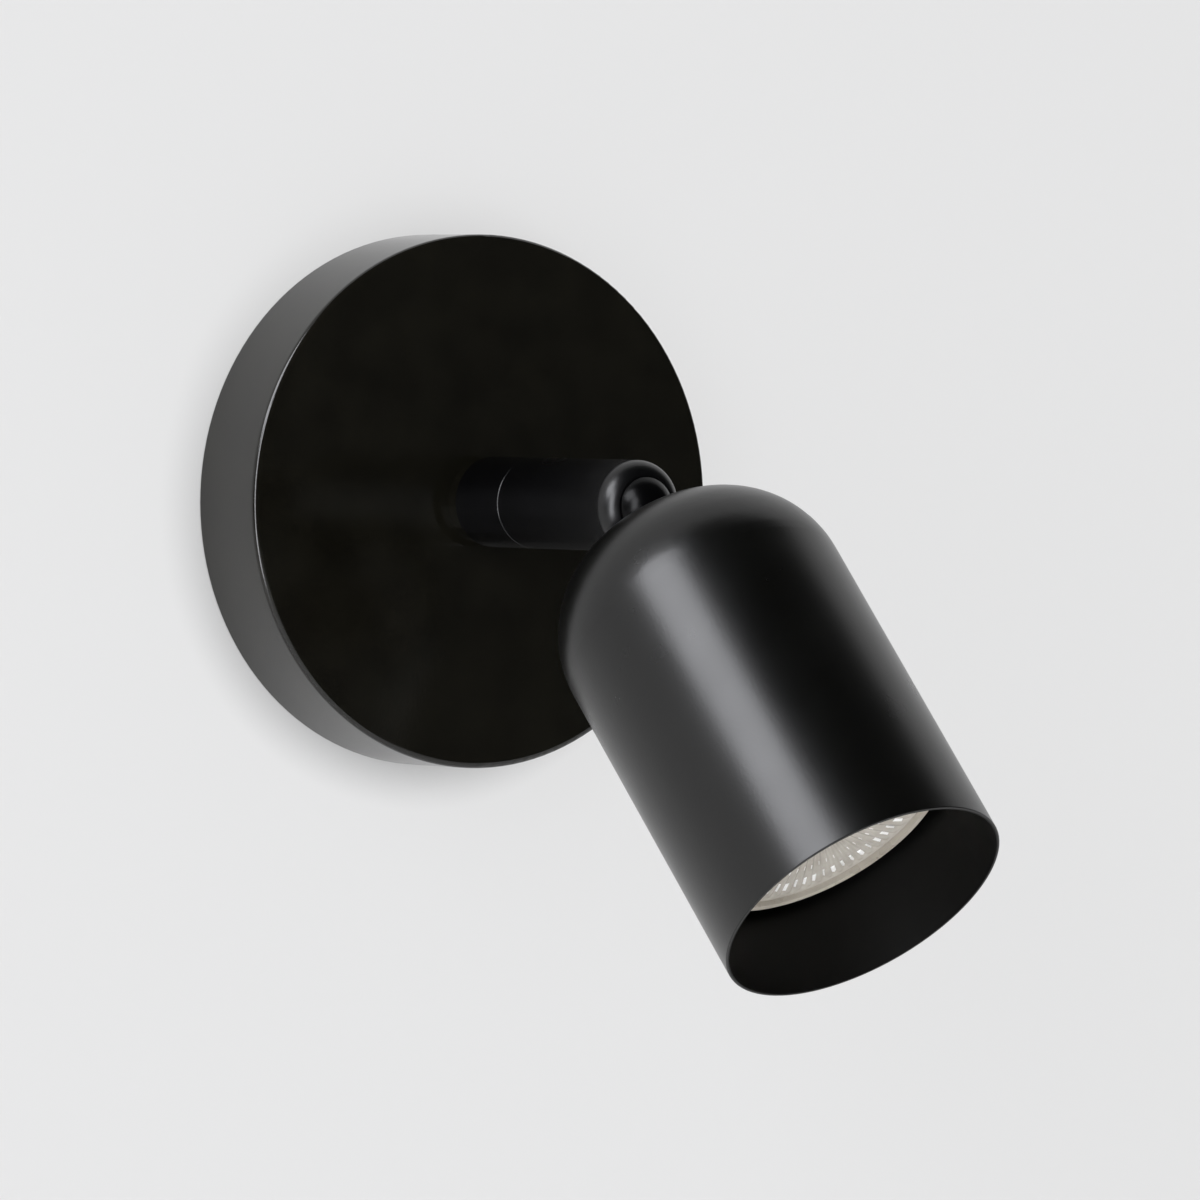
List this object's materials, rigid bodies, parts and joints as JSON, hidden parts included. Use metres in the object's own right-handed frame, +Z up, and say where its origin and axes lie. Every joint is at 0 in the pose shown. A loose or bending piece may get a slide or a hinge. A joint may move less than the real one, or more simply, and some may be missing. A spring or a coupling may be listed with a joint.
{
  "type": "adjustable wall spotlight",
  "caption": "Black wall spotlight: round wall plate, short swivelling arm and a ball pivot that tilts a cylindrical shade with a domed rear and a reflector lamp inside.",
  "frame": {"origin": "centre of the mounting plate's rear face, midway between its two wall screw slots", "axes": "+Z up, the wall is the plane Y = 0, the light stands out from it towards -Y, and +X is on the right for someone who faces the wall"},
  "size_m": [0.1, 0.1533, 0.1381],
  "materials": {
    "black_coat": "satin",
    "gloss_black": "gloss",
    "black_steel": "satin",
    "plate_steel": "zinc plated",
    "screw_steel": "plated",
    "brass": "satin",
    "terminal_plastic": "matt",
    "earth_green": "matt",
    "lead_brown": "matt",
    "black_plastic": "matt",
    "seat_plastic": "satin",
    "sleeve_white": "matt",
    "ceramic": "glazed",
    "lamp_white": "satin",
    "board_metal": "matt",
    "phosphor": "matt",
    "reflector_silver": "gloss",
    "clear_glass": "clear"
  },
  "bodies": {
    "wall_side": {"mounting_plate": "plate_steel", "canopy": "black_coat", "canopy_screws": "black_steel", "terminal_block": "terminal_plastic", "block_screws": "screw_steel", "terminal_clamps": "brass", "terminal_screws": "screw_steel", "earth_lug": "brass", "earth_washer": "screw_steel", "earth_screw": "screw_steel", "earth_lead": "earth_green", "base_leads": "lead_brown", "hollow_nipple": "brass", "locknut": "brass", "toothed_washer": "screw_steel", "lead_bush": "black_plastic", "base_collar": "black_coat", "arm_base": "black_coat", "base_insert": "brass", "swivel_stop_pin": "screw_steel"},
    "arm": {"swivel_spindle": "screw_steel", "disc_spring": "screw_steel", "arm_tube": "black_coat", "arm_plug": "brass", "ball_spring": "screw_steel", "ball_seat": "seat_plastic", "arm_sleeve": "sleeve_white", "arm_leads": "lead_brown"},
    "head": {"pivot_ball": "gloss_black", "shade": "black_coat", "stem_washer": "screw_steel", "stem_nut": "screw_steel", "holder_strap": "plate_steel", "lamp_holder": "ceramic", "holder_screws": "screw_steel", "holder_contacts": "brass", "head_sleeve": "sleeve_white", "head_leads": "lead_brown"},
    "lamp": {"lamp_base": "lamp_white", "lamp_pins": "screw_steel", "lamp_body": "lamp_white", "light_board": "board_metal", "light_chip": "phosphor", "reflector": "reflector_silver", "cover_glass": "clear_glass"}
  },
  "joints": [
    {"name": "arm_swivel", "type": "hinge", "parent": "wall_side", "child": "arm", "pos_m": [0, -0.038, 0], "axis": [0, -1, 0], "range_deg": [-160, 160]},
    {"name": "head_tilt", "type": "hinge", "parent": "arm", "child": "head", "pos_m": [0, -0.0731, 0], "axis": [0.9912, 0, 0.1323], "range_deg": [-70, 5]},
    {"name": "lamp_twist", "type": "hinge", "parent": "head", "child": "lamp", "pos_m": [0, -0.0731, 0], "axis": [0.1016, -0.6401, -0.7615], "range_deg": [0, 20]}
  ]
}
